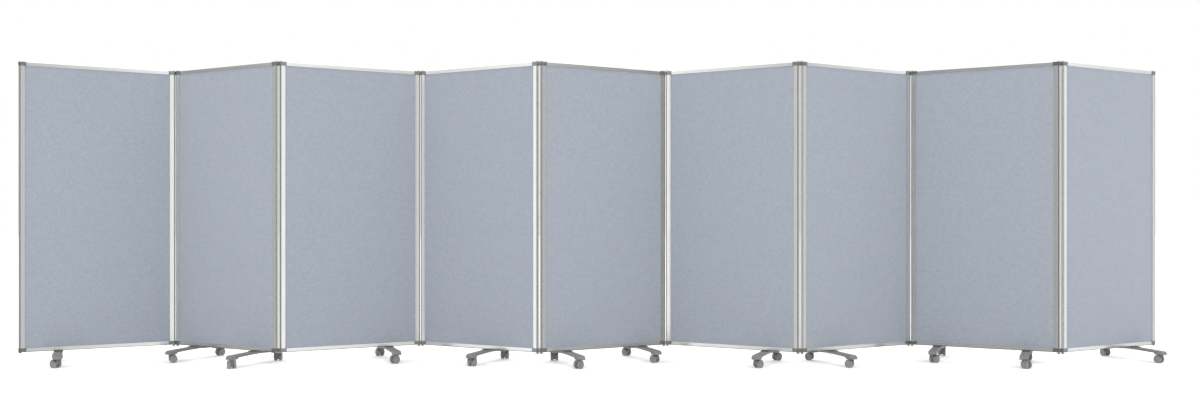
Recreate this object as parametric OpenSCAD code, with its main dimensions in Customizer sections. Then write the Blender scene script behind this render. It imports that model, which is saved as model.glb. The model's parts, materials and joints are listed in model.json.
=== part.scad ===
// Accordion folding partition: nine framed fabric boards in a zigzag, joined by
// double-pivot hinges and standing on arched feet with twin-wheel casters.
// Millimetres, +Z up. The origin is on the floor, under the middle of the zigzag.
// Each panel is drawn in its own frame: x runs from its left nose to its right
// nose, y is its thickness and z its height above the floor.

/* [Panel] */
// Width of one panel over its two round noses
panel_w = 850; // [600:10:1000]
// Height of the panel frame
panel_h = 1700; // [1200:10:2200]
// Clear height between the floor and the frame
floor_gap = 82; // [78:1:110]
// Angle between each panel and the line of the partition, as it stands
zigzag = 27; // [10:1:40]

/* [Frame profiles] */
// Thickness of the frame profiles
frame_t = 20; // [18:1:26]
// Width of the flat face of a stile
stile_face = 18; // [15:1:30]
// Height of the flat face of a rail
rail_face = 17; // [14:1:30]
// Wall of the hollow profiles
profile_wall = 2; // [1.5:0.25:2.5]
// Reach of the lips that hold the board
lip_w = 5; // [4:0.5:10]
// Thickness of each lip
lip_t = 2.4; // [1.5:0.1:3]
// Diameter of the round nose on the outer edge of a stile
nose_d = 20; // [18:1:24]
// Diameter of the bore along the nose
nose_bore_d = 12; // [11:0.5:14]
// Width of the groove between the nose and the flat face
groove_w = 2; // [1:0.5:3]
// Depth of that groove on each face
groove_depth = 1.5; // [0.5:0.25:2]
// Rounding of the outer edges of a rail
edge_r = 2.5; // [1:0.25:4]

/* [Board] */
// Thickness of the board core
core_t = 8; // [5:0.5:9]
// Thickness of the fabric layer on each face
fabric_t = 1.8; // [1:0.1:2]
// Clearance round the board in its frame
board_clear = 0.3; // [0.2:0.1:1]

/* [Corner blocks] */
// How far a corner block stands proud of the frame faces
block_proud = 1; // [0.5:0.25:2]
// How far a corner block reaches along the rail past the stile
block_reach = 12; // [8:0.5:20]
// Length of the spigots inside the profiles
spigot_l = 36; // [20:1:60]
// Clearance of a spigot in its profile
spigot_clear = 0.2; // [0.1:0.05:0.5]

/* [Hinges] */
// Gap between the corner blocks of neighbouring panels when they fold
hinge_gap = 1; // [0.8:0.1:4]
// Diameter of the hinge pins
pin_d = 8; // [6:0.5:9]
// Length of a hinge pin inside the nose
pin_l = 45; // [30:1:80]
// Radial clearance of a pin in its bush
pin_clear = 0.08; // [0.05:0.01:0.1]
// Length of the bushes in the ends of the noses
bush_l = 48; // [30:1:80]
// Thickness of a hinge link plate
link_t = 2.5; // [2:0.25:5]
// Running gap between a link plate and the ends of the stiles
link_gap = 0.3; // [0.2:0.1:0.6]
// Diameter of the round knob on the foot end of each nose
knob_d = 14; // [12:0.5:17]
// Height of that knob
knob_h = 7; // [5:0.5:12]
// Height of the low pin heads on the top plates
head_h = 2; // [1.5:0.25:4]

/* [Feet] */
// Overall length of a foot, square to its panel
foot_l = 400; // [340:5:480]
// Width of a foot bar
foot_w = 46; // [38:1:60]
// Thickness of the plate between a foot bar and its rail
plate_t = 4; // [3:0.5:8]
// Length of that plate along the foot
plate_l = 64; // [40:1:100]
// Thickness of the foot bar at its middle
bar_t = 12; // [10:0.5:16]
// How far the top of the bar drops from its middle to its ends
bar_drop = 6; // [2:0.5:10]
// Radius of the rounded upper corner at each end
end_r = 18; // [8:1:18]
// Length of the deep end that holds a caster
end_l = 46; // [40:1:60]
// Distance between the two bolts of a foot
bolt_pitch = 28; // [22:1:34]
// Diameter of those bolts
bolt_d = 6; // [5:0.5:7]
// Height of the bolt heads
bolt_head_h = 4; // [3:0.5:5]
// Thickness of the nut bar inside the rail
nut_t = 5; // [3:0.5:8]
// How far the nut bar runs on past each bolt
nut_end = 10; // [6:0.5:14]
// Clearance on each side of the nut bar
nut_clear = 1; // [0.5:0.1:2]
// Bevel round the underside of each end
end_bevel = 2; // [1:0.5:4]

/* [Casters] */
// Diameter of the caster wheels
wheel_d = 46; // [40:1:50]
// Width of one wheel
wheel_w = 15; // [10:0.5:20]
// Space between the two wheels of a caster
wheel_gap = 16; // [12:0.5:24]
// Distance of the wheel axle behind the swivel axis
trail = 16; // [10:0.5:22]
// Diameter of the swivel stem
stem_d = 10; // [8:0.5:12]
// Length of the stem inside the foot
stem_l = 17; // [12:0.5:18]
// Radial clearance of the stem in its socket
stem_clear = 0.06; // [0.04:0.01:0.1]
// Inset of the swivel axis from the end of the foot
stem_inset = 19; // [16:0.5:23]
// Gap between the hood of a caster and the foot
swivel_gap = 1; // [0.5:0.1:3]
// Length of the stem inside the caster body
stem_root = 8; // [6:0.5:10]
// Wall of the neck round the stem
neck_wall = 4; // [2:0.5:5]
// Wall of the hood over the wheels
hood_wall = 2; // [1.5:0.25:3]
// Clearance of the wheels under the hood
hood_clear = 0.6; // [0.4:0.1:1]
// Diameter of the axle
axle_d = 6; // [4:0.5:8]
// Rounding of the outer rim of a wheel
wheel_edge = 3; // [1:0.25:4]
// Depth of the dished face of a wheel
wheel_dish = 2; // [0.5:0.25:3]
// Gap between a wheel and the web that it runs beside
wheel_side = 0.5; // [0.3:0.1:1]

/* [Fits] */
// Gap at which pieces that are fastened to each other meet
seam = 0.1; // [0.05:0.05:0.2]
// Radial clearance of bolts and axles in their holes
hole_clear = 0.2; // [0.1:0.05:0.4]

/* [Hidden] */
// Each foot: its panel, its distance from the panel's left nose centre, and the
// directions in which the front and the rear caster trail as the object stands.
FEET = [
    [1, 195, 150, 150],
    [2, 150, 30, 60], [2, 655, -60, 95],
    [3, 640, -125, 130],
    [4, 485, 70, 80],
    [5, 165, -125, 90], [5, 675, 140, 125],
    [6, 635, 35, 30],
    [7, 220, 150, 150],
    [8, 150, 35, 70], [8, 655, -60, 95],
    [9, 640, 125, 100],
];
PANELS = 9;
LINKS = PANELS - 1;

$fn = 48;

SILVER = [0.78, 0.79, 0.80];
FABRIC = [0.64, 0.67, 0.71];
BOARD = [0.80, 0.74, 0.62];
DARK_GREY = [0.38, 0.38, 0.38];
MID_GREY = [0.52, 0.52, 0.52];
STEEL = [0.62, 0.62, 0.64];

// Heights of the frame
frame_z = floor_gap;
frame_top = floor_gap + panel_h;
// Across the frame
nose_r = nose_d / 2;
face_x = groove_w / 2;
stile_x = face_x + stile_face;
bush_r = nose_bore_d / 2 - seam;
hollow_x = nose_bore_d / 2 + profile_wall;
// Corner blocks cap the ends of the stiles and are as high as the rails with their lips
block_t = frame_t + 2 * block_proud;
block_r = nose_r + block_proud;
block_h = rail_face + lip_w + block_proud;
block_end = stile_x + block_reach;
// Distance between the two nose centres of a panel, and of a hinge
span = panel_w - nose_d;
hinge_pitch = 2 * block_r + hinge_gap;
// The board between the lips
board_t = core_t + 2 * (fabric_t + seam);
slot_t = board_t + board_clear;
// Feet
plate_z = floor_gap - seam - plate_t;
bar_top = plate_z - seam;
bar_under = bar_top - bar_t;
nut_z = frame_z + profile_wall + seam;
wheel_r = wheel_d / 2;
hood_r = wheel_r + hood_clear + hood_wall;
axle_z = wheel_r;
end_under = axle_z + hood_r + swivel_gap;
stem_y = foot_l / 2 - stem_inset;
hood_w = wheel_gap + 2 * (wheel_w + wheel_side);
body_top = end_under - swivel_gap;

// ---------- where things stand ----------

function panel_angle(k) = k % 2 == 1 ? zigzag : -zigzag;
chain_l = PANELS * span * cos(zigzag) + LINKS * hinge_pitch;
function panel_x(k) = -chain_l / 2 + (k - 1) * (span * cos(zigzag) + hinge_pitch);
function panel_y(k) = (k % 2 == 1 ? -1 : 1) * span * sin(zigzag) / 2;

// Puts what is drawn in a panel's own frame where panel k stands.
module on_panel(k) {
    translate([panel_x(k), panel_y(k), 0]) rotate([0, 0, panel_angle(k)]) children();
}

// Draws its children at the left edge of a panel, and mirrored at the right one.
module both_edges() {
    children();
    translate([span, 0, 0]) mirror([1, 0, 0]) children();
}

// ---------- aluminium frame ----------

// The two lips that hold the board.
module lips() {
    for (side = [-1, 1])
        translate([-0.01, side > 0 ? slot_t / 2 : -slot_t / 2 - lip_t]) square([lip_w + 0.01, lip_t]);
}

// Section of a stile: round nose with its pin bore, hollow flat part and lips.
module stile_section() {
    difference() {
        union() {
            circle(r = nose_r);
            translate([0, -frame_t / 2]) square([stile_x, frame_t]);
        }
        circle(d = nose_bore_d);
        translate([hollow_x, -frame_t / 2 + profile_wall])
            square([stile_x - hollow_x - profile_wall, frame_t - 2 * profile_wall]);
        for (side = [0, 1]) mirror([0, side])
            translate([-face_x, frame_t / 2 - groove_depth]) square([groove_w, nose_r]);
    }
    translate([stile_x, 0]) lips();
}

// Section of a rail, with rounded outer edges: x from the outer edge inwards.
module rail_section() {
    difference() {
        translate([0, -frame_t / 2]) square([rail_face, frame_t]);
        translate([profile_wall, -frame_t / 2 + profile_wall])
            square([rail_face - 2 * profile_wall, frame_t - 2 * profile_wall]);
        for (side = [0, 1]) mirror([0, side])
            translate([edge_r, frame_t / 2 - edge_r]) difference() {
                translate([-2 * edge_r, 0]) square(2 * edge_r);
                circle(r = edge_r);
            }
    }
    translate([rail_face, 0]) lips();
}

// The stiles and the rails run between the corner blocks.
module stile() {
    plain_h = block_h + seam;
    translate([0, 0, frame_z + plain_h]) linear_extrude(panel_h - 2 * plain_h) stile_section();
}

module rail() {
    rail_x = block_end + seam;
    translate([rail_x, 0, 0]) rotate([90, 0, 90])
        linear_extrude(span - 2 * rail_x) rotate(90) rail_section();
}

module bottom_rail(k) {
    difference() {
        translate([0, 0, frame_z]) rail();
        for (foot = FEET) if (foot[0] == k) for (side = [-1, 1])
            translate([foot[1] + side * bolt_pitch / 2, 0, frame_z - 1])
                cylinder(r = bolt_d / 2 + hole_clear, h = profile_wall + 2);
    }
}

module panel_frame(k) {
    color(SILVER) on_panel(k) {
        both_edges() stile();
        bottom_rail(k);
        translate([0, 0, frame_top]) mirror([0, 0, 1]) rail();
    }
}

// ---------- fabric-covered board ----------

module board_layer(y, t) {
    x0 = stile_x + board_clear;
    z0 = rail_face + board_clear;
    translate([x0, y, frame_z + z0]) cube([span - 2 * x0, t, panel_h - 2 * z0]);
}

module panel_board(k) {
    on_panel(k) {
        color(BOARD) board_layer(-core_t / 2, core_t);
        color(FABRIC) for (y = [-board_t / 2, board_t / 2 - fabric_t]) board_layer(y, fabric_t);
    }
}

// ---------- corner blocks ----------

// Plan of a corner block: round at the nose, with the hole for its bush.
module block_plan() {
    difference() {
        union() {
            circle(r = block_r);
            polygon([
                [0, -block_r], [stile_x, -block_t / 2], [block_end, -block_t / 2],
                [block_end, block_t / 2], [stile_x, block_t / 2], [0, block_r],
            ]);
        }
        circle(d = nose_bore_d);
    }
}

// A block with a slot for the corner of the board, one spigot up the stile and
// one along the rail.
module corner_block() {
    fit = profile_wall + spigot_clear;
    difference() {
        linear_extrude(block_h) block_plan();
        translate([stile_x, -slot_t / 2, rail_face]) cube([2 * block_reach, slot_t, block_h]);
    }
    translate([hollow_x + spigot_clear, -frame_t / 2 + fit, block_h - 0.01])
        cube([stile_x - hollow_x - fit - spigot_clear, frame_t - 2 * fit, spigot_l]);
    translate([block_end - 0.01, -frame_t / 2 + fit, fit])
        cube([spigot_l, frame_t - 2 * fit, rail_face - 2 * fit]);
}

// Bush in the end of a nose, in which a hinge pin turns.
module bush() {
    difference() {
        cylinder(r = bush_r, h = bush_l);
        translate([0, 0, -1]) cylinder(r = pin_d / 2 + pin_clear, h = bush_l + 2);
    }
}

// The blocks and bushes at the four corners of a panel.
module corners() {
    both_edges() {
        translate([0, 0, frame_z]) {
            corner_block();
            bush();
        }
        translate([0, 0, frame_top]) mirror([0, 0, 1]) {
            corner_block();
            bush();
        }
    }
}

// ---------- feet ----------

// Side view of a foot bar: x across the panel, y up; arched, with deep ends.
module bar_side() {
    tip = foot_l / 2;
    end_top = bar_top - bar_drop;
    rise = bar_under - bar_drop - end_under;
    for (side = [0, 1]) mirror([side, 0]) {
        polygon([
            [-seam, bar_under], [tip - end_l - rise, bar_under - bar_drop], [tip - end_l, end_under],
            [tip - end_bevel, end_under], [tip, end_under + end_bevel], [tip, end_top - end_r],
            [tip - end_r, end_top], [plate_l / 2, bar_top], [-seam, bar_top],
        ]);
        intersection() {
            translate([tip - end_r, end_top - end_r]) circle(r = end_r);
            translate([tip - end_r, end_top - end_r]) square(end_r);
        }
    }
}

module foot_bar() {
    difference() {
        rotate([90, 0, 90]) translate([0, 0, -foot_w / 2]) linear_extrude(foot_w) bar_side();
        for (side = [-1, 1]) {
            translate([0, side * stem_y, end_under - 1])
                cylinder(r = stem_d / 2 + stem_clear, h = stem_l + 2);
            translate([side * bolt_pitch / 2, 0, 0]) cylinder(r = bolt_d / 2 + hole_clear, h = floor_gap);
        }
    }
}

module foot_plate() {
    difference() {
        translate([-foot_w / 2, -plate_l / 2, plate_z]) cube([foot_w, plate_l, plate_t]);
        for (side = [-1, 1])
            translate([side * bolt_pitch / 2, 0, plate_z - 1])
                cylinder(r = bolt_d / 2 + hole_clear, h = plate_t + 2);
    }
}

// The bolts of a foot run up through the rail into a nut bar inside it.
module nut_bar() {
    nut_w = frame_t - 2 * (profile_wall + nut_clear);
    nut_l = bolt_pitch + 2 * nut_end;
    translate([0, 0, nut_z]) difference() {
        translate([-nut_l / 2, -nut_w / 2, 0]) cube([nut_l, nut_w, nut_t]);
        for (side = [-1, 1])
            translate([side * bolt_pitch / 2, 0, -1]) cylinder(r = bolt_d / 2 + seam, h = nut_t + 2);
    }
}

module foot_bolt() {
    head_r = bolt_d * 0.95;
    edge = bolt_head_h / 4;
    shank_l = nut_z + nut_t - bar_under;
    rotate_extrude() polygon([
        [0, -bolt_head_h], [head_r - edge, -bolt_head_h], [head_r, -bolt_head_h + edge], [head_r, 0],
        [bolt_d / 2, 0], [bolt_d / 2, shank_l], [0, shank_l],
    ]);
}

module foot() {
    color(MID_GREY) foot_bar();
    color(DARK_GREY) foot_plate();
    color(STEEL) nut_bar();
    color(STEEL) for (side = [-1, 1])
        translate([side * bolt_pitch / 2, 0, bar_under - seam]) foot_bolt();
}

// Panel k's plastic and steel fittings: corner blocks, bushes, feet, and plugs
// under the noses that carry no hinge.
module panel_fittings(k) {
    on_panel(k) {
        color(DARK_GREY) corners();
        for (foot = FEET) if (foot[0] == k) translate([foot[1], 0, 0]) foot();
        color(DARK_GREY) {
            if (k == 1) nose_foot();
            if (k == PANELS) translate([span, 0, 0]) nose_foot();
        }
    }
}

// ---------- hinges ----------

// Pin with a rounded head: the shank runs up from z = 0, the head down from it.
module headed_pin(head_r, head_h, shank_r, shank_l) {
    edge = head_h / 2;
    rotate_extrude() {
        polygon([
            [0, 0], [0, -head_h], [head_r - edge, -head_h], [head_r, -head_h + edge], [head_r, 0],
            [shank_r, 0], [shank_r, shank_l - 1], [shank_r - 1, shank_l], [0, shank_l],
        ]);
        intersection() {
            translate([head_r - edge, -head_h + edge]) circle(r = edge);
            translate([head_r - edge, -head_h]) square(edge);
        }
    }
}

// Knob and plug under a nose that carries no hinge.
module nose_foot() {
    translate([0, 0, frame_z - seam]) headed_pin(knob_d / 2, knob_h, pin_d / 2, pin_l);
}

module link_plate() {
    difference() {
        union() {
            for (x = [0, hinge_pitch]) translate([x, 0, 0]) cylinder(r = nose_r - 0.5, h = link_t);
            translate([0, -nose_r / 2, 0]) cube([hinge_pitch, nose_r, link_t]);
        }
        for (x = [0, hinge_pitch])
            translate([x, 0, -1]) cylinder(r = pin_d / 2 + seam, h = link_t + 2);
    }
}

// One end of a hinge, drawn as it lies under the stiles: plate and two pins.
module link_end(head_d, head_h) {
    color(STEEL) translate([0, 0, -link_t - link_gap]) link_plate();
    color(DARK_GREY) for (x = [0, hinge_pitch])
        translate([x, 0, -link_t - link_gap - seam])
            headed_pin(head_d / 2, head_h, pin_d / 2, pin_l + link_t);
}

// Link k joins the right nose of panel k to the left nose of panel k + 1.
module hinge_link(k) {
    translate([panel_x(k + 1) - hinge_pitch, panel_y(k + 1), 0]) {
        translate([0, 0, frame_z]) link_end(knob_d, knob_h);
        translate([0, 0, frame_top]) mirror([0, 0, 1]) link_end(knob_d, head_h);
    }
}

// ---------- casters ----------

// Half section of a wheel about its axle: x is the radius, y the width.
module wheel_section() {
    bore = axle_d / 2 + hole_clear;
    hub_r = wheel_r * 0.42;
    rim_r = wheel_r - wheel_edge;
    face_r = rim_r - wheel_edge;
    inner_edge = wheel_edge / 3;
    polygon([
        [bore, 0], [wheel_r - inner_edge, 0], [wheel_r, inner_edge], [wheel_r, wheel_w - wheel_edge],
        [rim_r, wheel_w], [face_r, wheel_w], [face_r - wheel_dish, wheel_w - wheel_dish],
        [hub_r + wheel_dish / 2, wheel_w - wheel_dish], [hub_r, wheel_w - wheel_dish / 4],
        [bore, wheel_w - wheel_dish / 4],
    ]);
    intersection() {
        translate([rim_r, wheel_w - wheel_edge]) circle(r = wheel_edge);
        translate([rim_r, wheel_w - wheel_edge]) square(wheel_edge);
    }
}

module wheel_pair() {
    for (side = [0, 1]) mirror([0, side, 0])
        translate([trail, wheel_gap / 2, axle_z]) rotate([-90, 0, 0])
            rotate_extrude() wheel_section();
}

// Body of a caster: neck on the swivel axis, web between the wheels and the
// hood over them.
module caster_body() {
    web_t = wheel_gap - 2 * wheel_side;
    web_r = wheel_r * 0.75;
    neck_r = stem_d / 2 + neck_wall;
    difference() {
        union() {
            translate([0, 0, axle_z]) cylinder(r = neck_r, h = body_top - axle_z);
            translate([trail, web_t / 2, axle_z]) rotate([90, 0, 0]) cylinder(r = web_r, h = web_t);
            translate([0, -web_t / 2, axle_z]) cube([trail, web_t, wheel_r]);
            intersection() {
                translate([trail, hood_w / 2, axle_z]) rotate([90, 0, 0])
                    difference() {
                        cylinder(r = hood_r, h = hood_w);
                        for (z = [-1, (hood_w + web_t) / 2])
                            translate([0, 0, z])
                                cylinder(r = hood_r - hood_wall, h = (hood_w - web_t) / 2 + 1);
                    }
                translate([trail - wheel_r * 0.8, -hood_w, axle_z + wheel_r * 0.35])
                    cube([wheel_r * 1.6, 2 * hood_w, wheel_d]);
            }
        }
        translate([trail, hood_w, axle_z]) rotate([90, 0, 0])
            cylinder(r = axle_d / 2 + seam, h = 2 * hood_w);
        // The wheels turn clear of the neck and the web.
        for (side = [-1, 1])
            translate([trail, side * (web_t / 2 + wheel_w), axle_z]) rotate([side * 90, 0, 0])
                cylinder(r = hood_r - hood_wall, h = wheel_w);
        translate([0, 0, body_top - stem_root - seam])
            cylinder(r = stem_d / 2 + seam, h = 2 * stem_root);
    }
}

module caster() {
    color(MID_GREY) caster_body();
    color(STEEL) {
        translate([0, 0, body_top - stem_root])
            cylinder(d = stem_d, h = stem_root + swivel_gap + stem_l);
        translate([trail, wheel_gap / 2 + wheel_w - 1, axle_z]) rotate([90, 0, 0])
            cylinder(d = axle_d, h = wheel_gap + 2 * wheel_w - 2);
    }
    color(MID_GREY) wheel_pair();
}

// The caster of foot n on its front (side = -1) or rear (side = 1) end.
module foot_caster(n, side) {
    foot = FEET[n - 1];
    k = foot[0];
    heading = side < 0 ? foot[2] : foot[3];
    on_panel(k) translate([foot[1], side * stem_y, 0])
        rotate([0, 0, heading - panel_angle(k)]) caster();
}

// ---------- the assembly ----------

for (k = [1 : PANELS]) {
    panel_frame(k);
    panel_board(k);
    panel_fittings(k);
}
for (k = [1 : LINKS])
    hinge_link(k);
for (n = [1 : len(FEET)]) {
    foot_caster(n, -1);
    foot_caster(n, 1);
}
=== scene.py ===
"""Looks of the accordion folding partition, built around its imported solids.

Nine aluminium frames hold fabric-covered boards, joined in a zigzag by double-pivot
hinges, on arched feet with twin-wheel casters. The frames, fittings and hinge links keep
their solids and get finishes here; the boards and the casters are modelled again, in the
places of theirs.
"""

import json
import logging
import math
from dataclasses import dataclass
from enum import Enum
from typing import Callable, Iterable, Sequence, Union

import bmesh
import bpy
from mathutils import Matrix, Vector, noise

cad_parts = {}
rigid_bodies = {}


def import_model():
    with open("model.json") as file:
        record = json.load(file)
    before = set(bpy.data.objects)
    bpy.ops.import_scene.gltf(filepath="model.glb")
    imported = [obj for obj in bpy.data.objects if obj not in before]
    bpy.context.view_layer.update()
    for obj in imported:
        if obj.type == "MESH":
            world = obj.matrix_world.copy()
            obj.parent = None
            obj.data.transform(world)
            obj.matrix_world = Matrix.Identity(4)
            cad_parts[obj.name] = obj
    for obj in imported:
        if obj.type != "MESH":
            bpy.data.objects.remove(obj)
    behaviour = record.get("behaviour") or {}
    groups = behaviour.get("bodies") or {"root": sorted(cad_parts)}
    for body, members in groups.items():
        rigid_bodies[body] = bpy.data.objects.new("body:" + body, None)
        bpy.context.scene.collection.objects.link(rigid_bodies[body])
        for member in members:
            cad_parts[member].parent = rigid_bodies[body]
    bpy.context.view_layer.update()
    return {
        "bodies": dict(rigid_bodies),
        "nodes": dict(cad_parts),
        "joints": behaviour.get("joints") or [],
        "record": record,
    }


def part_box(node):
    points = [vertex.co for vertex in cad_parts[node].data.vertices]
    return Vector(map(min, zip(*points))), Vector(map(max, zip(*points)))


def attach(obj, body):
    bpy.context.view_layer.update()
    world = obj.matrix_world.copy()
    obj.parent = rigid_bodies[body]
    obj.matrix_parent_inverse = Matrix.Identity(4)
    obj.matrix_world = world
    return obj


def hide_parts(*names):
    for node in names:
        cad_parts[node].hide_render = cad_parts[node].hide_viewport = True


log = logging.getLogger("partition")

Socket = bpy.types.NodeSocket
Feed = Union[Socket, float, Sequence[float]]
Colour = tuple[float, float, float]
Ring = Sequence[bmesh.types.BMVert]

PANELS = 9
MM = 0.001
# Edges of modelled pieces that turn more than this stay sharp.
SHARP = math.radians(40)


class Slot(Enum):
    """Material slots of the record."""

    FRAME = "frame"
    BOARD = "board"
    FITTINGS = "fittings"
    HINGE = "hinge"
    CASTER = "caster"


class Lean(Enum):
    """The two ways in which panels stand in the zigzag, as turns about the vertical."""

    RIGHT = math.radians(27)
    LEFT = math.radians(-27)

    @classmethod
    def of(cls, panel: int) -> "Lean":
        """Odd panels lean one way and even ones the other."""
        return cls.RIGHT if panel % 2 else cls.LEFT


# ---------- shader trees ----------


class Tree:
    """Writes a shader node tree: each call adds one node and returns its output."""

    def __init__(self, tree: bpy.types.NodeTree) -> None:
        """Keeps the tree that the nodes go into."""
        self.tree = tree

    def node(
        self, kind: str, feeds: dict[Union[int, str], Feed] | None = None, **settings: object
    ) -> bpy.types.Node:
        """Adds a node.

        Args:
            kind: The node's type, without the leading "ShaderNode".
            feeds: What goes into its inputs, by name or place: a socket or a plain value.
            **settings: The node's own settings.

        Returns:
            The new node.
        """
        made = self.tree.nodes.new("ShaderNode" + kind)
        for name, value in settings.items():
            setattr(made, name, value)
        for name, value in (feeds or {}).items():
            self.feed(made.inputs[name], value)
        return made

    def feed(self, socket: Socket, value: Feed) -> None:
        """Links a socket into an input, or sets its plain value.

        Args:
            socket: The input.
            value: An output to link, or a plain value.
        """
        if isinstance(value, bpy.types.NodeSocket):
            self.tree.links.new(value, socket)
        else:
            socket.default_value = value

    def math(self, operation: str, a: Feed, b: Feed = 0.0, c: Feed = 0.0, clamp: bool = False) -> Socket:
        """Adds a Math node and returns its value."""
        return self.node("Math", {0: a, 1: b, 2: c}, operation=operation, use_clamp=clamp).outputs[0]

    def vector(self, operation: str, a: Feed, b: Feed = (0, 0, 0)) -> Socket:
        """Adds a Vector Math node and returns its vector."""
        return self.node("VectorMath", {0: a, 1: b}, operation=operation).outputs[0]

    def fit(
        self, value: Feed, low: float, high: float, to_low: float = 0.0, to_high: float = 1.0
    ) -> Socket:
        """Maps a range of values onto another, eased at both ends."""
        feeds = {0: value, 1: low, 2: high, 3: to_low, 4: to_high}
        return self.node("MapRange", feeds, interpolation_type="SMOOTHSTEP").outputs[0]

    def mix(self, share: Feed, a: Feed, b: Feed) -> Socket:
        """Mixes two colours.

        Args:
            share: How much of the second one there is.
            a: The first colour.
            b: The second colour.

        Returns:
            The mixed colour.
        """
        made = self.node("Mix", data_type="RGBA")
        for name, value in ((0, share), (6, a), (7, b)):
            self.feed(made.inputs[name], (*value, 1.0) if isinstance(value, tuple) else value)
        return made.outputs[2]

    def noise(self, place: Feed, scale: Feed, detail: float = 2.0, roughness: float = 0.5) -> Socket:
        """Adds a noise texture and returns its value, about 0.5 on average."""
        feeds = {"Vector": place, "Scale": scale, "Detail": detail, "Roughness": roughness}
        return self.node("TexNoise", feeds).outputs[0]

    def split(self, place: Feed) -> tuple[Socket, Socket, Socket]:
        """Returns the three coordinates of a vector."""
        made = self.node("SeparateXYZ", {0: place})
        return made.outputs[0], made.outputs[1], made.outputs[2]

    def join(self, x: Feed, y: Feed, z: Feed) -> Socket:
        """Returns the vector of three coordinates."""
        return self.node("CombineXYZ", {0: x, 1: y, 2: z}).outputs[0]

    def group(self, name: str, feeds: dict[str, Feed]) -> bpy.types.Node:
        """Places a shared node group.

        Args:
            name: The group's name.
            feeds: What goes into its inputs, by name.

        Returns:
            The node that holds the group.
        """
        made = self.tree.nodes.new("ShaderNodeGroup")
        made.node_tree = bpy.data.node_groups[name]
        for key, value in feeds.items():
            self.feed(made.inputs[key], value)
        return made


class SharedGroup:
    """A shader node group with named inputs and outputs, which several finishes use."""

    name = ""
    inputs: dict[str, float] = {}
    outputs: tuple[str, ...] = ()

    def build(self) -> None:
        """Makes the group: a vector input, the named values, and the outputs that wire() returns."""
        tree = bpy.data.node_groups.new(self.name, "ShaderNodeTree")
        tree.interface.new_socket("Place", in_out="INPUT", socket_type="NodeSocketVector")
        for key, value in self.inputs.items():
            socket = tree.interface.new_socket(key, in_out="INPUT", socket_type="NodeSocketFloat")
            socket.default_value = value
        for key in self.outputs:
            tree.interface.new_socket(key, in_out="OUTPUT", socket_type="NodeSocketFloat")
        entry = tree.nodes.new("NodeGroupInput")
        exit_ = tree.nodes.new("NodeGroupOutput")
        made = self.wire(Tree(tree), {s.name: s for s in entry.outputs if s.name})
        for key, socket in zip(self.outputs, made):
            tree.links.new(socket, exit_.inputs[key])

    def wire(self, tree: Tree, given: dict[str, Socket]) -> Sequence[Socket]:
        """Writes the nodes of the group.

        Args:
            tree: The group's tree.
            given: The group's inputs by name.

        Returns:
            A socket for each output, in order.
        """
        raise NotImplementedError


class WeaveGroup(SharedGroup):
    """Plain weave in the x-z plane: relief of the threads, and a shade for each thread."""

    name = "weave"
    inputs = {"Pitch": 1.1 * MM, "Slub": 0.3}
    outputs = ("Relief", "Shade", "Gap")

    def wire(self, tree: Tree, given: dict[str, Socket]) -> Sequence[Socket]:
        """See SharedGroup.wire."""
        x, _, z = tree.split(given["Place"])
        # Threads wander a little, as spun yarn does.
        drift = tree.math("SUBTRACT", tree.noise(given["Place"], scale=90.0), 0.5)
        sway = tree.math("MULTIPLY", drift, given["Slub"])
        u = tree.math("ADD", tree.math("DIVIDE", x, given["Pitch"]), sway)
        v = tree.math("ADD", tree.math("DIVIDE", z, given["Pitch"]), sway)
        wave_u = tree.math("SINE", tree.math("MULTIPLY", u, math.pi))
        wave_v = tree.math("SINE", tree.math("MULTIPLY", v, math.pi))
        over = tree.math("GREATER_THAN", tree.math("MULTIPLY", wave_u, wave_v), 0.0)
        bulge_u = tree.math("ABSOLUTE", wave_u)
        bulge_v = tree.math("ABSOLUTE", wave_v)

        def crown(across: Socket, along: Socket) -> Socket:
            """Returns the height of a thread, round across and flatter along."""
            return tree.math("MULTIPLY", tree.math("POWER", across, 0.7), tree.math("POWER", along, 0.35))

        def thread_shade(x_part: Feed, set_apart: float, z_part: Feed) -> Socket:
            """Returns a shade that stays nearly the same along a thread."""
            return tree.noise(tree.join(x_part, set_apart, z_part), scale=0.77, detail=1.0)

        warp = tree.math("MULTIPLY", crown(bulge_u, bulge_v), over)
        weft = tree.math("MULTIPLY", crown(bulge_v, bulge_u), tree.math("SUBTRACT", 1.0, over))
        relief = tree.math("ADD", warp, weft)
        warp_shade = thread_shade(tree.math("FLOOR", u), 0.0, tree.math("MULTIPLY", v, 0.4))
        weft_shade = thread_shade(tree.math("MULTIPLY", u, 0.4), 7.0, tree.math("FLOOR", v))
        shade = tree.math("ADD", tree.math("MULTIPLY", warp_shade, over),
                          tree.math("MULTIPLY", weft_shade, tree.math("SUBTRACT", 1.0, over)))
        gap = tree.math("SUBTRACT", 1.0, tree.fit(relief, 0.05, 0.45))
        return relief, shade, gap


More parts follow.
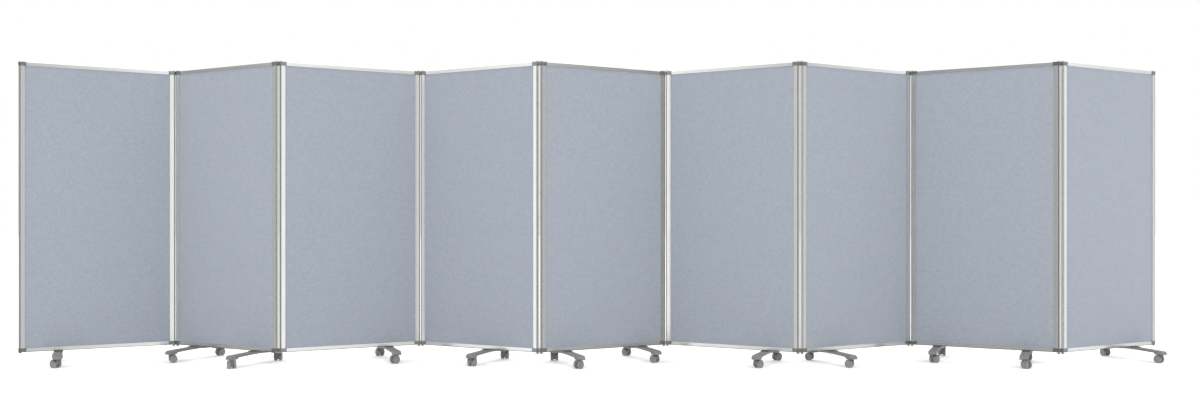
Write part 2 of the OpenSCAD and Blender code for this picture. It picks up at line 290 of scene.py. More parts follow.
class DrawnLinesGroup(SharedGroup):
    """Fine die lines along an extrusion, along z on the stiles and along x on the rails."""

    name = "drawn_lines"
    inputs = {"Turn": 0.0, "Rail Low": 104.5 * MM, "Rail High": 1759.5 * MM}
    outputs = ("Lines", "Patches")

    def wire(self, tree: Tree, given: dict[str, Socket]) -> Sequence[Socket]:
        """See SharedGroup.wire."""
        turned = tree.node("VectorRotate", {"Vector": given["Place"], "Angle": given["Turn"]},
                           rotation_type="Z_AXIS").outputs[0]
        x, y, z = tree.split(turned)
        across_stile = tree.noise(tree.join(x, y, tree.math("MULTIPLY", z, 0.01)), scale=1400.0, detail=3.0)
        across_rail = tree.noise(tree.join(tree.math("MULTIPLY", x, 0.01), y, z), scale=1400.0, detail=3.0)
        rail = tree.math("MAXIMUM", tree.math("LESS_THAN", z, given["Rail Low"]),
                         tree.math("GREATER_THAN", z, given["Rail High"]))
        lines = tree.math("ADD", tree.math("MULTIPLY", across_rail, rail),
                          tree.math("MULTIPLY", across_stile, tree.math("SUBTRACT", 1.0, rail)))
        return lines, tree.noise(given["Place"], scale=5.0, detail=1.0)


class GrainGroup(SharedGroup):
    """Fine moulded or blasted grain with broad, faint patches of handling."""

    name = "grain"
    inputs = {"Size": 0.35 * MM}
    outputs = ("Grain", "Patches")

    def wire(self, tree: Tree, given: dict[str, Socket]) -> Sequence[Socket]:
        """See SharedGroup.wire."""
        size = given["Size"]
        scaled = tree.vector("DIVIDE", given["Place"], tree.join(size, size, size))
        fine = tree.noise(scaled, scale=1.0, detail=3.0, roughness=0.6)
        return fine, tree.noise(given["Place"], scale=38.0, detail=3.0)


class EdgeWearGroup(SharedGroup):
    """Rubbed edges: where the surface turns sharply, broken up by noise."""

    name = "edge_wear"
    inputs = {"Reach": 0.8 * MM, "Breakup": 160.0}
    outputs = ("Wear",)

    def wire(self, tree: Tree, given: dict[str, Socket]) -> Sequence[Socket]:
        """See SharedGroup.wire."""
        rounded = tree.node("Bevel", {"Radius": given["Reach"]}, samples=4).outputs[0]
        true_normal = tree.node("NewGeometry").outputs["Normal"]
        turned = tree.node("VectorMath", {0: rounded, 1: true_normal}, operation="DOT_PRODUCT")
        edge = tree.fit(turned.outputs["Value"], 0.985, 0.86)
        rough = tree.noise(given["Place"], given["Breakup"], detail=4.0)
        return (tree.math("MULTIPLY", edge, tree.fit(rough, 0.35, 0.62)),)


# ---------- finishes ----------


@dataclass(frozen=True)
class Finish:
    """Base of all finishes: a material whose Principled shader each kind wires up."""

    name: str

    def build(self) -> bpy.types.Material:
        """Makes the material, once for each name.

        Returns:
            The material.
        """
        found = bpy.data.materials.get(self.name)
        if found:
            return found
        made = bpy.data.materials.new(self.name)
        made.use_nodes = True
        tree = Tree(made.node_tree)
        shader = made.node_tree.nodes["Principled BSDF"]
        place = tree.node("TexCoord").outputs["Object"]
        self.wire(tree, shader, place)
        return made

    def wire(self, tree: Tree, shader: bpy.types.Node, place: Socket) -> None:
        """Writes the nodes that feed the shader.

        Args:
            tree: The material's tree.
            shader: Its Principled shader.
            place: The point on the object, in metres.
        """
        raise NotImplementedError

    def relief(
        self, tree: Tree, shader: bpy.types.Node, height: Socket, depth: float, strength: float
    ) -> None:
        """Feeds a height into the shader's normal."""
        bump = tree.node("Bump", {"Height": height, "Distance": depth, "Strength": strength})
        tree.feed(shader.inputs["Normal"], bump.outputs[0])


@dataclass(frozen=True)
class WovenFabric(Finish):
    """Blue-grey woven screen fabric, mixed from lighter and darker yarn."""

    dark: Colour = (0.256, 0.287, 0.334)
    light: Colour = (0.456, 0.492, 0.552)
    gaps: Colour = (0.16, 0.18, 0.21)
    # Tints of the broad mottle.
    faded: Colour = (0.902, 0.9045, 0.907)
    fresh: Colour = (1.018, 1.0155, 1.013)
    pitch: float = 1.1 * MM

    def wire(self, tree: Tree, shader: bpy.types.Node, place: Socket) -> None:
        """See Finish.wire."""
        weave = tree.group("weave", {"Place": place, "Pitch": self.pitch})
        fibre = tree.noise(place, scale=2600.0, detail=2.0, roughness=0.7)
        mottle = tree.noise(place, scale=95.0, detail=3.0, roughness=0.7)
        blend = tree.math("ADD", tree.math("MULTIPLY", weave.outputs["Shade"], 0.55),
                          tree.math("MULTIPLY", fibre, 0.45))
        yarn = tree.mix(tree.fit(blend, 0.28, 0.72), self.dark, self.light)
        soft = tree.mix(tree.fit(mottle, 0.3, 0.7), self.faded, self.fresh)
        product = tree.node("Mix", {0: 1.0, 6: yarn, 7: soft}, data_type="RGBA", blend_type="MULTIPLY")
        in_gaps = tree.math("MULTIPLY", weave.outputs["Gap"], 0.45)
        shaded = tree.mix(in_gaps, product.outputs[2], self.gaps)
        tree.feed(shader.inputs["Base Color"], shaded)
        shader.inputs["Roughness"].default_value = 0.92
        shader.inputs["Specular IOR Level"].default_value = 0.25
        shader.inputs["Sheen Weight"].default_value = 0.12
        shader.inputs["Sheen Roughness"].default_value = 0.5
        height = tree.math("ADD", weave.outputs["Relief"], tree.math("MULTIPLY", fibre, 0.35))
        self.relief(tree, shader, height, 0.12 * MM, 0.6)


@dataclass(frozen=True)
class SatinAluminium(Finish):
    """Satin anodised extrusion with faint die lines, and painted shade along its lowest edge."""

    lean: Lean = Lean.RIGHT
    colour: Colour = (0.83, 0.835, 0.82)
    rubbed: Colour = (0.93, 0.93, 0.92)
    # Painted shade: the dark colour of the lowest edge, and the heights between which it fades out.
    painted_shade: Colour = (0.10, 0.10, 0.097)
    shade_below: float = 84.4 * MM
    unshaded_above: float = 86.0 * MM
    # Faces whose normal points down more than this are the flat underside.
    underside: float = -0.93

    def wire(self, tree: Tree, shader: bpy.types.Node, place: Socket) -> None:
        """See Finish.wire."""
        drawn = tree.group("drawn_lines", {"Place": place, "Turn": -self.lean.value})
        wear = tree.group("edge_wear", {"Place": place, "Reach": 0.5 * MM})
        lines, patches = drawn.outputs["Lines"], drawn.outputs["Patches"]
        shade = tuple(0.96 * c for c in self.colour)
        tone = tree.mix(tree.fit(lines, 0.3, 0.7), shade, self.colour)
        clean = tree.mix(wear.outputs["Wear"], tone, self.rubbed)
        # Painted shade: the lowest edge, where the side turns under, is painted dark as if it lay in
        # shadow. The flat underside is not.
        facing = tree.split(tree.node("NewGeometry").outputs["Normal"])[2]
        low = tree.fit(tree.split(place)[2], self.shade_below, self.unshaded_above, 1.0, 0.0)
        shaded_low_edge = tree.math("MULTIPLY", low, tree.math("GREATER_THAN", facing, self.underside))
        tree.feed(shader.inputs["Base Color"], tree.mix(shaded_low_edge, clean, self.painted_shade))
        shader.inputs["Metallic"].default_value = 0.95
        broad = tree.fit(patches, 0.3, 0.7, 0.20, 0.225)
        fine = tree.fit(lines, 0.2, 0.8, -0.01, 0.01)
        tree.feed(shader.inputs["Roughness"], tree.math("ADD", broad, fine))
        self.relief(tree, shader, lines, 0.01 * MM, 0.05)


@dataclass(frozen=True)
class MouldedPlastic(Finish):
    """Grey moulded plastic with a fine grain and rubbed edges, plain or silvered with metal flake."""

    colour: Colour = (0.14, 0.14, 0.135)
    worn: Colour = (0.30, 0.30, 0.29)
    rough: float = 0.48
    grain: float = 0.35 * MM
    flake: float = 0.0

    def wire(self, tree: Tree, shader: bpy.types.Node, place: Socket) -> None:
        """See Finish.wire."""
        skin = tree.group("grain", {"Place": place, "Size": self.grain})
        wear = tree.group("edge_wear", {"Place": place})
        deep = tuple(0.86 * c for c in self.colour)
        tone = tree.mix(tree.fit(skin.outputs["Patches"], 0.3, 0.7), deep, self.colour)
        share = tree.math("MULTIPLY", wear.outputs["Wear"], 0.55)
        tree.feed(shader.inputs["Base Color"], tree.mix(share, tone, self.worn))
        shader.inputs["Metallic"].default_value = self.flake
        rough = tree.fit(skin.outputs["Patches"], 0.3, 0.7, self.rough - 0.06, self.rough + 0.06)
        tree.feed(shader.inputs["Roughness"], rough)
        self.relief(tree, shader, skin.outputs["Grain"], 0.03 * MM, 0.6)


@dataclass(frozen=True)
class PlatedSteel(Finish):
    """Zinc-plated steel of the link plates, bolts and caster stems."""

    colour: Colour = (0.52, 0.52, 0.51)
    metal: float = 0.9
    rubbed: Colour = (0.68, 0.68, 0.66)

    def wire(self, tree: Tree, shader: bpy.types.Node, place: Socket) -> None:
        """See Finish.wire."""
        skin = tree.group("grain", {"Place": place, "Size": 0.6 * MM})
        wear = tree.group("edge_wear", {"Place": place})
        deep = tuple(0.8 * c for c in self.colour)
        tone = tree.mix(tree.fit(skin.outputs["Patches"], 0.3, 0.7), deep, self.colour)
        tree.feed(shader.inputs["Base Color"], tree.mix(wear.outputs["Wear"], tone, self.rubbed))
        shader.inputs["Metallic"].default_value = self.metal
        tree.feed(shader.inputs["Roughness"], tree.fit(skin.outputs["Grain"], 0.3, 0.7, 0.34, 0.46))
        self.relief(tree, shader, skin.outputs["Grain"], 0.02 * MM, 0.4)


@dataclass(frozen=True)
class Elastomer(Finish):
    """Soft grey tread of the wheels, with dusty patches."""

    colour: Colour = (0.23, 0.23, 0.22)

    def wire(self, tree: Tree, shader: bpy.types.Node, place: Socket) -> None:
        """See Finish.wire."""
        skin = tree.group("grain", {"Place": place, "Size": 0.8 * MM})
        dusty = tuple(1.35 * c for c in self.colour)
        tone = tree.mix(tree.fit(skin.outputs["Patches"], 0.4, 0.66), self.colour, dusty)
        tree.feed(shader.inputs["Base Color"], tone)
        tree.feed(shader.inputs["Roughness"], tree.fit(skin.outputs["Grain"], 0.3, 0.7, 0.62, 0.78))
        self.relief(tree, shader, skin.outputs["Grain"], 0.04 * MM, 0.6)


# ---------- mesh work ----------


def rounded(points: Sequence[Sequence[float]], radius: float, steps: int = 4) -> list[Vector]:
    """Rounds the corners of an outline.

    Args:
        points: Corners (x, y) or (x, y, r), where r overrides the radius.
        radius: Radius of the corners.
        steps: Points on each rounded corner, less one.

    Returns:
        The outline with an arc at each corner.
    """
    made: list[Vector] = []
    nearly_straight = math.radians(88)
    for i, corner in enumerate(points):
        here = Vector(corner[:2])
        before = (Vector(points[i - 1][:2]) - here).normalized()
        after = (Vector(points[(i + 1) % len(points)][:2]) - here).normalized()
        r = corner[2] if len(corner) > 2 else radius
        half = before.angle(after) / 2
        if r <= 0 or half > nearly_straight:
            made.append(here)
            continue
        centre = here + (before + after).normalized() * (r / math.sin(half))
        start = here + before * (r / math.tan(half)) - centre
        end = here + after * (r / math.tan(half)) - centre
        sweep = start.angle_signed(end)
        for step in range(steps + 1):
            turn = Matrix.Rotation(-sweep * step / steps, 2)
            made.append(centre + turn @ start)
    return made


def ring_faces(mesh: bmesh.types.BMesh, rings: Sequence[Ring]) -> None:
    """Joins rings of equal length with quads, each ring to the next.

    Args:
        mesh: The mesh that takes the faces.
        rings: The rings' vertices, in the same order in every ring.
    """
    for low, high in zip(rings, rings[1:]):
        for i, vert in enumerate(low):
            j = (i + 1) % len(low)
            mesh.faces.new((vert, low[j], high[j], high[i]))


def prism(
    mesh: bmesh.types.BMesh,
    outline: Sequence[Vector],
    place: Callable[[Vector, float], Vector],
    levels: Sequence[tuple[float, float]],
) -> None:
    """Sweeps an outline straight, shrinking it at the ends to round them.

    Args:
        mesh: The mesh that takes the faces.
        outline: The outline's points.
        place: Puts an outline point at a level into space.
        levels: Pairs of a level and how far the outline shrinks inwards there.
    """
    count = len(outline)
    inward: list[Vector] = []
    for i, point in enumerate(outline):
        a = (point - outline[i - 1]).normalized()
        b = (outline[(i + 1) % count] - point).normalized()
        normal = Vector((-(a.y + b.y), a.x + b.x))
        inward.append(normal.normalized() if normal.length > 1e-9 else Vector((0, 0)))
    area = sum(outline[i - 1].x * p.y - p.x * outline[i - 1].y for i, p in enumerate(outline))
    sign = 1 if area > 0 else -1
    rings = [[mesh.verts.new(place(p + inward[i] * sign * inset, level)) for i, p in enumerate(outline)]
             for level, inset in levels]
    ring_faces(mesh, rings)
    mesh.faces.new(list(reversed(rings[0])))
    mesh.faces.new(rings[-1])


def lathe(
    mesh: bmesh.types.BMesh,
    profile: Sequence[tuple[float, float, int]],
    place: Callable[[float, float, float], Vector],
    steps: int,
) -> None:
    """Turns a profile about an axis.

    Args:
        mesh: The mesh that takes the faces.
        profile: Points (radius, level, material slot) from end to end; a radius of 0 closes the end.
        place: Puts (cosine part, sine part, level) into space.
        steps: Steps round the axis.
    """
    rings: list[Ring] = []
    turns = [(math.cos(2 * math.pi * i / steps), math.sin(2 * math.pi * i / steps)) for i in range(steps)]
    for radius, level, _ in profile:
        if radius <= 0:
            rings.append([mesh.verts.new(place(0, 0, level))])
        else:
            rings.append([mesh.verts.new(place(radius * a, radius * b, level)) for a, b in turns])
    for (low, high), (_, _, slot) in zip(zip(rings, rings[1:]), profile[1:]):
        for i in range(steps):
            j = (i + 1) % steps
            if len(low) == 1:
                face = mesh.faces.new((low[0], high[j], high[i]))
            elif len(high) == 1:
                face = mesh.faces.new((low[i], low[j], high[0]))
            else:
                face = mesh.faces.new((low[i], low[j], high[j], high[i]))
            face.material_index = slot


def finish_mesh(mesh: bmesh.types.BMesh, name: str, finishes: Iterable[Finish]) -> bpy.types.Mesh:
    """Turns edited geometry into a smooth-shaded mesh with sharp edges kept.

    Args:
        mesh: The geometry, which is freed.
        name: Name of the new mesh.
        finishes: Its finishes, in the order of the material slots.

    Returns:
        The mesh.
    """
    bmesh.ops.recalc_face_normals(mesh, faces=mesh.faces)
    for face in mesh.faces:
        face.smooth = True
    for edge in mesh.edges:
        edge.smooth = len(edge.link_faces) != 2 or edge.calc_face_angle() <= SHARP
    made = bpy.data.meshes.new(name)
    mesh.to_mesh(made)
    mesh.free()
    for finish in finishes:
        made.materials.append(finish.build())
    return made


def add_object(name: str, mesh: bpy.types.Mesh, place: Matrix) -> bpy.types.Object:
    """Puts a mesh into the scene.

    Args:
        name: Name of the new object.
        mesh: Its mesh, which several objects may share.
        place: Its place.

    Returns:
        The object.
    """
    made = bpy.data.objects.new(name, mesh)
    bpy.context.scene.collection.objects.link(made)
    made.matrix_world = place
    return made


# ---------- the object ----------


@dataclass
class FabricBoard:
    """Fabric-wrapped board of one panel, drawn about the panel's middle, floor level at 0."""

    width: float = 791.4 * MM
    bottom: float = 99.3 * MM
    height: float = 1665.4 * MM
    thickness: float = 11.8 * MM
    edge: float = 2.4 * MM
    lip: float = 4.7 * MM
    tuck: float = 0.7 * MM
    tuck_at: float = 4 * MM
    slack: float = 0.18 * MM
    slack_waves: float = 7.0
    slack_apart: float = 9.1
    fabric: WovenFabric = WovenFabric("woven_fabric")

    def stations(self, length: float, spacing: float) -> list[float]:
        """Lists places across the board, close together at its rounded and tucked edges.

        Args:
            length: The board's size in that direction.
            spacing: About how far apart the places in the middle are.

        Returns:
            Distances from one edge, rising.
        """
        near = [n * MM for n in (0.0, 0.15, 0.5, 1.2, 2.4, 3.6, 4.7, 5.6, 7.0, 9.5, 13.0, 20.0, 30.0)]
        middle = length - 2 * near[-1]
        steps = round(middle / spacing)
        inner = [near[-1] + middle * i / steps for i in range(1, steps)]
        return near + inner + [length - n for n in reversed(near)]

    def half_thickness(self, from_edge: float) -> float:
        """Works out half the board's thickness.

        Args:
            from_edge: Distance from the nearest edge.

        Returns:
            Half the thickness there.
        """
        if from_edge < self.edge:
            return self.thickness / 2 - self.edge + math.sqrt(self.edge**2 - (self.edge - from_edge) ** 2)
        if from_edge <= self.lip:
            return self.thickness / 2
        # Beside the lip the fabric dips, and comes back slowly.
        away = (from_edge - self.lip) / self.tuck_at
        fade = 1.0 if away < 1 else away**-0.3
        return self.thickness / 2 - self.tuck * away * math.exp(1 - away) * fade

    def build(self, panel: int) -> bpy.types.Mesh:
        """Models the board's closed, slightly slack fabric surface.

        Args:
            panel: The panel's number, which gives each board its own slack.

        Returns:
            The mesh.
        """
        xs = self.stations(self.width, spacing=55 * MM)
        zs = self.stations(self.height, spacing=70 * MM)
        # The slack starts well away from the lips, and each skin takes it from another place.
        slack_from = 4 * self.lip
        mesh = bmesh.new()
        skins = []
        for side in (-1, 1):
            rows = []
            for z in zs:
                row = []
                for x in xs:
                    from_edge = min(x, self.width - x, z, self.height - z)
                    waves, own = self.slack_waves, panel * self.slack_apart + side
                    slack = abs(noise.noise(Vector((x * waves, z * waves, own))) * self.slack)
                    y = self.half_thickness(from_edge) - (slack if from_edge > slack_from else 0.0)
                    row.append(mesh.verts.new((x - self.width / 2, side * y, self.bottom + z)))
                rows.append(row)
            skins.append(rows)
            for low, high in zip(rows, rows[1:]):
                for i in range(len(xs) - 1):
                    mesh.faces.new((low[i], low[i + 1], high[i + 1], high[i]))

        def rim(rows: list[list[bmesh.types.BMVert]]) -> Ring:
            """Finds the edge of a skin.

            Args:
                rows: The skin's vertices, row by row.

            Returns:
                The outermost vertices, in order round the skin.
            """
            bottom, right = rows[0][:-1], [row[-1] for row in rows[:-1]]
            top, left = rows[-1][:0:-1], [row[0] for row in rows[:0:-1]]
            return bottom + right + top + left

        ring_faces(mesh, [rim(skins[0]), rim(skins[1])])
        return finish_mesh(mesh, f"panel_{panel}_fabric_board", [self.fabric])


@dataclass
class TwinWheelCaster:
    """Hooded caster, drawn with its swivel axis at x = 0 and its wheels trailing towards +x."""

    wheel_r: float = 23 * MM
    wheel_w: float = 15 * MM
    wheel_gap: float = 16 * MM
    trail: float = 16 * MM
    hood_r: float = 25.6 * MM
    hood_wall: float = 2 * MM
    hood_half: float = 23.5 * MM
    web_half: float = 7.4 * MM
    top: float = 48.6 * MM
    stem_r: float = 5 * MM
    stem_top: float = 66.6 * MM
    shell: MouldedPlastic = MouldedPlastic(
        "caster_plastic", colour=(0.21, 0.21, 0.20), worn=(0.42, 0.42, 0.40), rough=0.42)
    disc: MouldedPlastic = MouldedPlastic(
        "wheel_plastic", colour=(0.27, 0.27, 0.255), worn=(0.48, 0.48, 0.46), rough=0.38)
    tread: Elastomer = Elastomer("wheel_tread")
    steel: PlatedSteel = PlatedSteel("plated_steel")

    def wheels(self) -> bpy.types.Mesh:
        """Models both wheels: rounded tread, dished disc and hub cap.

        Returns:
            The mesh, which all casters share.
        """
        r, w = self.wheel_r, self.wheel_w
        disc, tread = 0, 1
        inner_side = [(0.0, 0.2 * MM), (0.36 * r, 0.2 * MM), (0.40 * r, 1.4 * MM), (0.78 * r, 1.4 * MM),
                      (0.82 * r, 0.0)]
        rolling = [(0.955 * r, 0.0), (0.985 * r, 0.5 * MM), (r, 1.5 * MM), (r, 0.72 * w),
                   (0.992 * r, 0.80 * w), (0.965 * r, 0.885 * w), (0.925 * r, 0.95 * w)]
        rim = [(0.875 * r, 0.99 * w), (0.83 * r, w), (0.76 * r, w), (0.735 * r, 0.985 * w)]
        dish = [(0.70 * r, 0.88 * w), (0.66 * r, 0.86 * w), (0.50 * r, 0.855 * w), (0.455 * r, 0.87 * w)]
        hub_cap = [(0.43 * r, 0.955 * w), (0.40 * r, 0.98 * w), (0.24 * r, 0.99 * w), (0.0, 0.995 * w)]
        profile = [(*p, disc) for p in inner_side] + [(*p, tread) for p in rolling]
        profile += [(*p, disc) for p in rim + dish + hub_cap]
        mesh = bmesh.new()
        for side in (-1, 1):
            lathe(mesh, profile, lambda a, b, level: Vector(
                (self.trail + a, side * (self.wheel_gap / 2 + level), self.wheel_r + b)), steps=56)
        return finish_mesh(mesh, "caster_wheels", [self.disc, self.tread])

    def hood(self, mesh: bmesh.types.BMesh) -> None:
        """Sweeps the crowned shell of the hood over the wheels.

        Args:
            mesh: The mesh that takes the faces.
        """
        inner = self.hood_r - self.hood_wall
        half, drop = self.hood_half, 1.3 * MM
        shoulder, shoulder_r = half - 3 * MM, self.hood_r - 0.2 * MM
        section = [(-half, inner), (-half, self.hood_r - drop), (-shoulder, shoulder_r), (0, self.hood_r),
                   (shoulder, shoulder_r), (half, self.hood_r - drop), (half, inner)]
        outline = rounded(section, radius=0.6 * MM, steps=3)
        start, end = math.radians(44), math.radians(136)
        steps = 26
        # The two ends are thinner and a little narrower, which rounds them.
        end_thin, end_narrow = 0.55, 1 - 0.6 * MM / half
        rings = []
        for i in range(steps + 1):
            angle = start + (end - start) * i / steps
            thin, narrow = (end_thin, end_narrow) if i in (0, steps) else (1.0, 1.0)
            ring = []
            for p in outline:
                radius = inner + self.hood_wall / 2 + (p.y - inner - self.hood_wall / 2) * thin
                ring.append(mesh.verts.new((self.trail + radius * math.cos(angle), p.x * narrow,
                                            self.wheel_r + radius * math.sin(angle))))
            rings.append(ring)
        ring_faces(mesh, rings)
        mesh.faces.new(list(reversed(rings[0])))
        mesh.faces.new(rings[-1])

    def web(self, mesh: bmesh.types.BMesh) -> None:
        """Models the web between the wheels, which carries the hood and the collar.

        Args:
            mesh: The mesh that takes the faces.
        """
        neck_half, neck_low, neck_high = 9 * MM, 27 * MM, 46.4 * MM
        points = [Vector((-neck_half, neck_high)), Vector((-neck_half, neck_low))]
        axle = Vector((self.trail, self.wheel_r))
        under_axle, under_hood = range(25), (60, 75, 90)
        arcs = [(0.75 * self.wheel_r, [182 + 220 * i / under_axle[-1] for i in under_axle]),
                (self.hood_r - self.hood_wall / 2, under_hood)]
        for reach, degrees in arcs:
            for angle in map(math.radians, degrees):
                points.append(axle + reach * Vector((math.cos(angle), math.sin(angle))))
        points.append(Vector((neck_half, neck_high)))
        half, edge = self.web_half, 0.8 * MM
        far_side = [(half - edge, 0.0), (half - 0.3 * edge, 0.3 * edge), (half, edge)]
        near_side = [(-level, inset) for level, inset in reversed(far_side)]
        prism(mesh, points, lambda p, level: Vector((p.x, level, p.y)), near_side + far_side)

    def body(self) -> bpy.types.Mesh:
        """Models hood, web, collar and steel stem.

        Returns:
            The mesh, which all casters share.
        """
        mesh = bmesh.new()
        self.hood(mesh)
        self.web(mesh)
        low, top, collar_r = 45.9 * MM, self.top, 9 * MM
        collar = [(0.0, low), (collar_r - 0.6 * MM, low), (collar_r, low + 0.6 * MM),
                  (collar_r, top - 0.9 * MM), (collar_r - 0.8 * MM, top), (0.0, top)]
        foot, chamfer = top - 0.5 * MM, 0.8 * MM
        stem = [(0.0, foot), (self.stem_r, foot), (self.stem_r, self.stem_top - chamfer),
                (self.stem_r - chamfer, self.stem_top), (0.0, self.stem_top)]
        for slot, profile in enumerate((collar, stem)):
            lathe(mesh, [(*p, slot) for p in profile], lambda a, b, level: Vector((a, b, level)), steps=40)
        return finish_mesh(mesh, "caster_body", [self.shell, self.steel])


@dataclass
class Partition:
    """The whole partition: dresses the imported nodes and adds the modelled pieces."""

    frame: dict
    board: FabricBoard
    caster: TwinWheelCaster

    def soften(self, node: bpy.types.Object, width: float) -> None:
        """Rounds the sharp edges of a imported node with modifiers, its mesh left as it is.

        Args:
            node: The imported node.
            width: Width of the rounding.
        """
        weld = node.modifiers.new("weld", "WELD")
        weld.merge_threshold = 0.002 * MM
        bevel = node.modifiers.new("edge_rounding", "BEVEL")
        bevel.width = width
        bevel.segments = 2
        bevel.limit_method = "ANGLE"
        bevel.angle_limit = math.radians(50)
        bevel.harden_normals = True

    def paint(
        self, node: bpy.types.Object, finishes: Sequence[Finish], choose: Callable[[Vector], int]
    ) -> None:
        """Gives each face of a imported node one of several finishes.

        Args:
            node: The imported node.
            finishes: The finishes, in slot order.
            choose: Picks a slot from the middle of a face.
        """
        node.data.materials.clear()
        for finish in finishes:
            node.data.materials.append(finish.build())
        for face in node.data.polygons:
            face.material_index = choose(face.center)

    def panel_place(self, panel: int) -> Matrix:
        """Finds a panel's own frame.

        Args:
            panel: The panel's number.

        Returns:
            The frame, with its origin on the floor under the panel's middle and x along it.
        """
        low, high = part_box(f"panel_{panel}_board")
        middle = (low + high) / 2
        return Matrix.Translation((middle.x, middle.y, 0)) @ Matrix.Rotation(Lean.of(panel).value, 4, "Z")

    def dress_panel(self, panel: int) -> None:
        """Dresses a panel's frame and fittings, and builds its board.

        Args:
            panel: The panel's number.
        """
        lean = Lean.of(panel)
        place = self.panel_place(panel)
        into_panel = place.inverted()
        profiles = self.frame["nodes"][f"panel_{panel}_frame"]
        self.paint(profiles, [
            SatinAluminium(f"aluminium_{lean.name.lower()}", lean),
            # Painted shade: the groove beside each nose gets a near-black finish that stands in for the
            # shade inside it.
            MouldedPlastic("painted_groove_shade", (0.022, 0.022, 0.022), (0.05, 0.05, 0.05), rough=0.6),
        ], lambda middle: int(self.in_groove(into_panel @ middle)))
        fittings = self.frame["nodes"][f"panel_{panel}_fittings"]
        self.paint(fittings, [
            MouldedPlastic("corner_plastic", (0.32, 0.32, 0.31), (0.42, 0.42, 0.41), rough=0.27, flake=0.9),
            MouldedPlastic("foot_plastic", (0.215, 0.215, 0.21), (0.40, 0.40, 0.39), rough=0.44),
            MouldedPlastic("plate_plastic", (0.115, 0.115, 0.11), (0.24, 0.24, 0.23), rough=0.5),
            PlatedSteel("plated_steel"),
        ], lambda middle: self.fitting_slot(into_panel @ middle))
        self.soften(fittings, width=0.5 * MM)
        board = add_object(f"panel_{panel}_fabric_board", self.board.build(panel), place)
        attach(board, f"panel_{panel}")
        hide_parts(f"panel_{panel}_board")

    @staticmethod
    def in_groove(at: Vector) -> bool:
        """Tells whether a point, in its panel's frame, is in the groove beside a nose, which is painted
        near-black as shade.
        """
        nose_x, half_width, floor_y, face_y = 415 * MM, 1.06 * MM, 8.4 * MM, 9.98 * MM
        return abs(abs(at.x) - nose_x) < half_width and floor_y < abs(at.y) < face_y

    @staticmethod
    def fitting_slot(at: Vector) -> int:
        """Picks the finish of the fittings.

        Args:
            at: A point on them, in its panel's frame.

        Returns:
            The slot of the corner blocks, feet, plates or steel.
        """
        block, foot, plate, steel = range(4)
        knob_reach, bolt_reach = 400 * MM, 25 * MM
        rail_z, plate_z, bolt_z = 81.95 * MM, 77.85 * MM, 65.75 * MM
        if at.z > rail_z or abs(at.x) > knob_reach:
            return block
        if at.z > plate_z:
            return plate
        if at.z < bolt_z and abs(at.y) < bolt_reach:
            return steel
        return foot

    def dress_hinge(self, link: int) -> None:
        """Dresses a hinge link: zinc plates and pins, painted lighter against their shade, and dark heads
        above and below.

        Args:
            link: The link's number.
        """
        node = self.frame["nodes"][f"hinge_link_{link}"]
        low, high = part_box(node.name)
        knob_h, head_h = 7.0 * MM, 2.0 * MM
        self.paint(node, [
            # Painted light: the plates and pins are coloured lighter and less metallic than plated steel,
            # so that they do not look dark in their shade.
            PlatedSteel("painted_light_zinc", (0.82, 0.82, 0.81), metal=0.35),
            MouldedPlastic("knob_plastic", (0.10, 0.10, 0.095), (0.24, 0.24, 0.23), rough=0.4),
        ], lambda at: int(not low.z + knob_h < at.z < high.z - head_h))
        self.soften(node, width=0.3 * MM)

    def add_casters(self) -> int:
        """Stands a modelled caster in the place of each packed one.

        Returns:
            How many there are.
        """
        wheels, body = self.caster.wheels(), self.caster.body()
        swivels = [j for j in self.frame["joints"] if j["name"].startswith("swivel_")]
        for joint in swivels:
            name = joint["child"]
            x, y, _ = joint["pos_m"]
            low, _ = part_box(name)
            verts = self.frame["nodes"][name].data.vertices
            middle = sum((v.co for v in verts), Vector()) / len(verts)
            heading = math.atan2(middle.y - y, middle.x - x)
            place = Matrix.Translation((x, y, low.z)) @ Matrix.Rotation(heading, 4, "Z")
            for part, mesh in (("body", body), ("wheels", wheels)):
                made = add_object(f"{name}_{part}", mesh, place)
                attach(made, name)
                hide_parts(name)
        return len(swivels)

    def build(self) -> None:
        """Builds every sub-assembly, in order."""
        for panel in range(1, PANELS + 1):
            self.dress_panel(panel)
            log.info("panel %d dressed", panel)
        for link in range(1, PANELS):
            self.dress_hinge(link)
        log.info("%d hinge links dressed", PANELS - 1)
        log.info("%d casters built", self.add_casters())


# ---------- the studio ----------


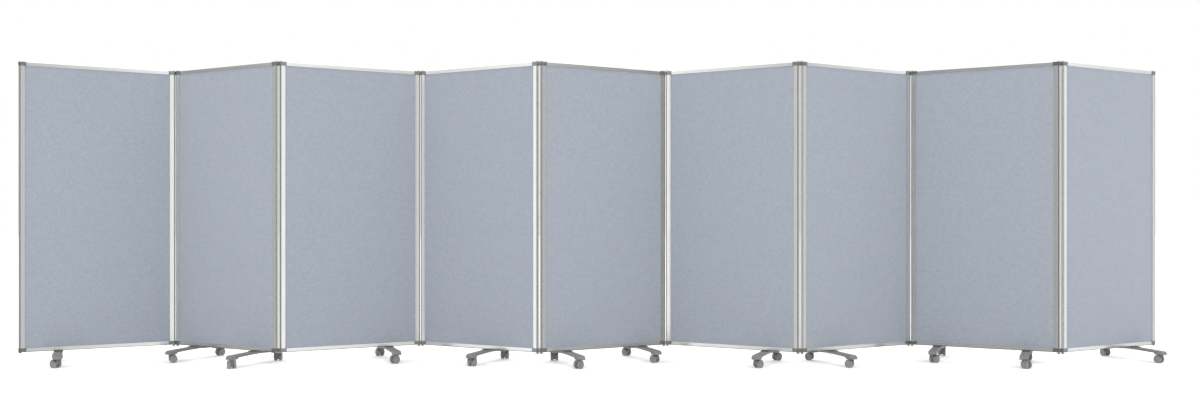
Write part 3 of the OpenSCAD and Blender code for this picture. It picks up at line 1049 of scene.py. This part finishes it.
@dataclass
class Studio:
    """Camera, pale floor and soft light."""

    focal_px: float = 1000.0
    image: tuple[int, int] = (1200, 414)
    sensor: float = 36.0
    eye: tuple[float, float, float] = (-0.027, -6.041, 0.836)
    horizon_px: float = 223.4
    ceiling: float = 1.9
    # Where the ceiling begins and is full, as the height of a direction of length 1.
    ceiling_from: float = 0.42
    ceiling_full: float = 0.62
    brightest: float = 1.5
    # Brightness of the walls by azimuth in degrees, 0 being behind the camera.
    walls: tuple[tuple[float, float], ...] = (
        (-180, 0.90), (-105, 0.90), (-92, 0.45), (-84, 0.20), (-77, 0.15), (-72, 0.50), (-64, 0.75),
        (-58, 1.30), (-50, 1.25), (-43, 0.65), (-37, 0.10), (-30, 0.60), (-22, 0.16), (18, 0.16),
        (24, 0.60), (31, 1.20), (36.5, 1.30), (43.5, 0.65), (50.5, 0.58), (57.5, 0.08), (65, 0.60),
        (71, 1.20), (79, 1.25), (84, 0.70), (95, 0.20), (120, 0.80), (150, 0.90), (180, 0.90))

    def add_camera(self) -> None:
        """Stands the camera level, a little below the middle of the panels."""
        data = bpy.data.cameras.new("camera")
        data.sensor_width = self.sensor
        data.lens = self.focal_px / self.image[0] * self.sensor
        data.shift_y = (self.horizon_px - self.image[1] / 2) / self.image[0]
        data.clip_end = 200.0
        camera = bpy.data.objects.new("camera", data)
        camera.location = self.eye
        camera.rotation_euler = (math.radians(90), 0, 0)
        bpy.context.scene.collection.objects.link(camera)
        bpy.context.scene.camera = camera

    def add_floor(self) -> None:
        """Lays a wide pale floor."""
        reach = 60.0
        mesh = bmesh.new()
        corners = ((-reach, -reach), (reach, -reach), (reach, reach), (-reach, reach))
        mesh.faces.new([mesh.verts.new((x, y, 0)) for x, y in corners])
        data = bpy.data.meshes.new("floor")
        mesh.to_mesh(data)
        mesh.free()
        paint = bpy.data.materials.new("floor")
        paint.use_nodes = True
        shader = paint.node_tree.nodes["Principled BSDF"]
        shader.inputs["Base Color"].default_value = (0.93, 0.93, 0.93, 1)
        shader.inputs["Emission Color"].default_value = (1, 1, 1, 1)
        shader.inputs["Emission Strength"].default_value = 0.15
        shader.inputs["Roughness"].default_value = 0.9
        shader.inputs["Specular IOR Level"].default_value = 0.1
        data.materials.append(paint)
        floor = add_object("floor", data, Matrix.Identity(4))
        # The metal reflects the walls below the horizon too, so the floor stays out of it.
        floor.visible_glossy = False

    def add_world(self) -> None:
        """Surrounds the object with a bright ceiling, and with light and dark walls for the metal."""
        world = bpy.data.worlds.new("studio")
        world.use_nodes = True
        bpy.context.scene.world = world
        tree = Tree(world.node_tree)
        out = world.node_tree.nodes["World Output"]
        direction = tree.node("TexCoord").outputs["Generated"]
        x, y, z = tree.split(direction)
        azimuth = tree.math("DEGREES", tree.math("ARCTAN2", x, tree.math("MULTIPLY", y, -1.0)))
        ramp = tree.node("ValToRGB", {0: tree.math("MULTIPLY_ADD", azimuth, 1 / 360, 0.5)})
        stops = ramp.color_ramp.elements
        for at, _ in self.walls[1:-1]:
            stops.new(at / 360 + 0.5)
        for stop, (_, level) in zip(stops, self.walls):
            stop.color = (*[level / self.brightest] * 3, 1.0)
        band = tree.math("MULTIPLY", ramp.outputs[0], self.brightest)
        # Above the walls the ceiling glows evenly; it lights the fabric and the floor.
        ceiling = tree.fit(z, self.ceiling_from, self.ceiling_full)
        light = tree.math("ADD", tree.math("MULTIPLY", band, tree.math("SUBTRACT", 1.0, ceiling)),
                          tree.math("MULTIPLY", ceiling, self.ceiling))
        soft = tree.node("Background", {"Strength": light})
        soft.inputs["Color"].default_value = (1.0, 1.0, 1.0, 1.0)
        plain = tree.node("Background", {"Strength": 1.0})
        plain.inputs["Color"].default_value = (1.0, 1.0, 1.0, 1.0)
        seen = tree.node("LightPath").outputs["Is Camera Ray"]
        mixed = tree.node("MixShader", {0: seen, 1: soft.outputs[0], 2: plain.outputs[0]})
        tree.feed(out.inputs["Surface"], mixed.outputs[0])

    def build(self) -> None:
        """Sets up everything round the object."""
        bpy.context.scene.view_settings.view_transform = "Standard"
        self.add_camera()
        self.add_floor()
        self.add_world()


def main() -> None:
    """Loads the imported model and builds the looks."""
    logging.basicConfig(level=logging.INFO, format="%(message)s")
    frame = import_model()
    for shared in (WeaveGroup(), DrawnLinesGroup(), GrainGroup(), EdgeWearGroup()):
        shared.build()
    Studio().build()
    Partition(frame, FabricBoard(), TwinWheelCaster()).build()


if __name__ == "__main__":
    main()
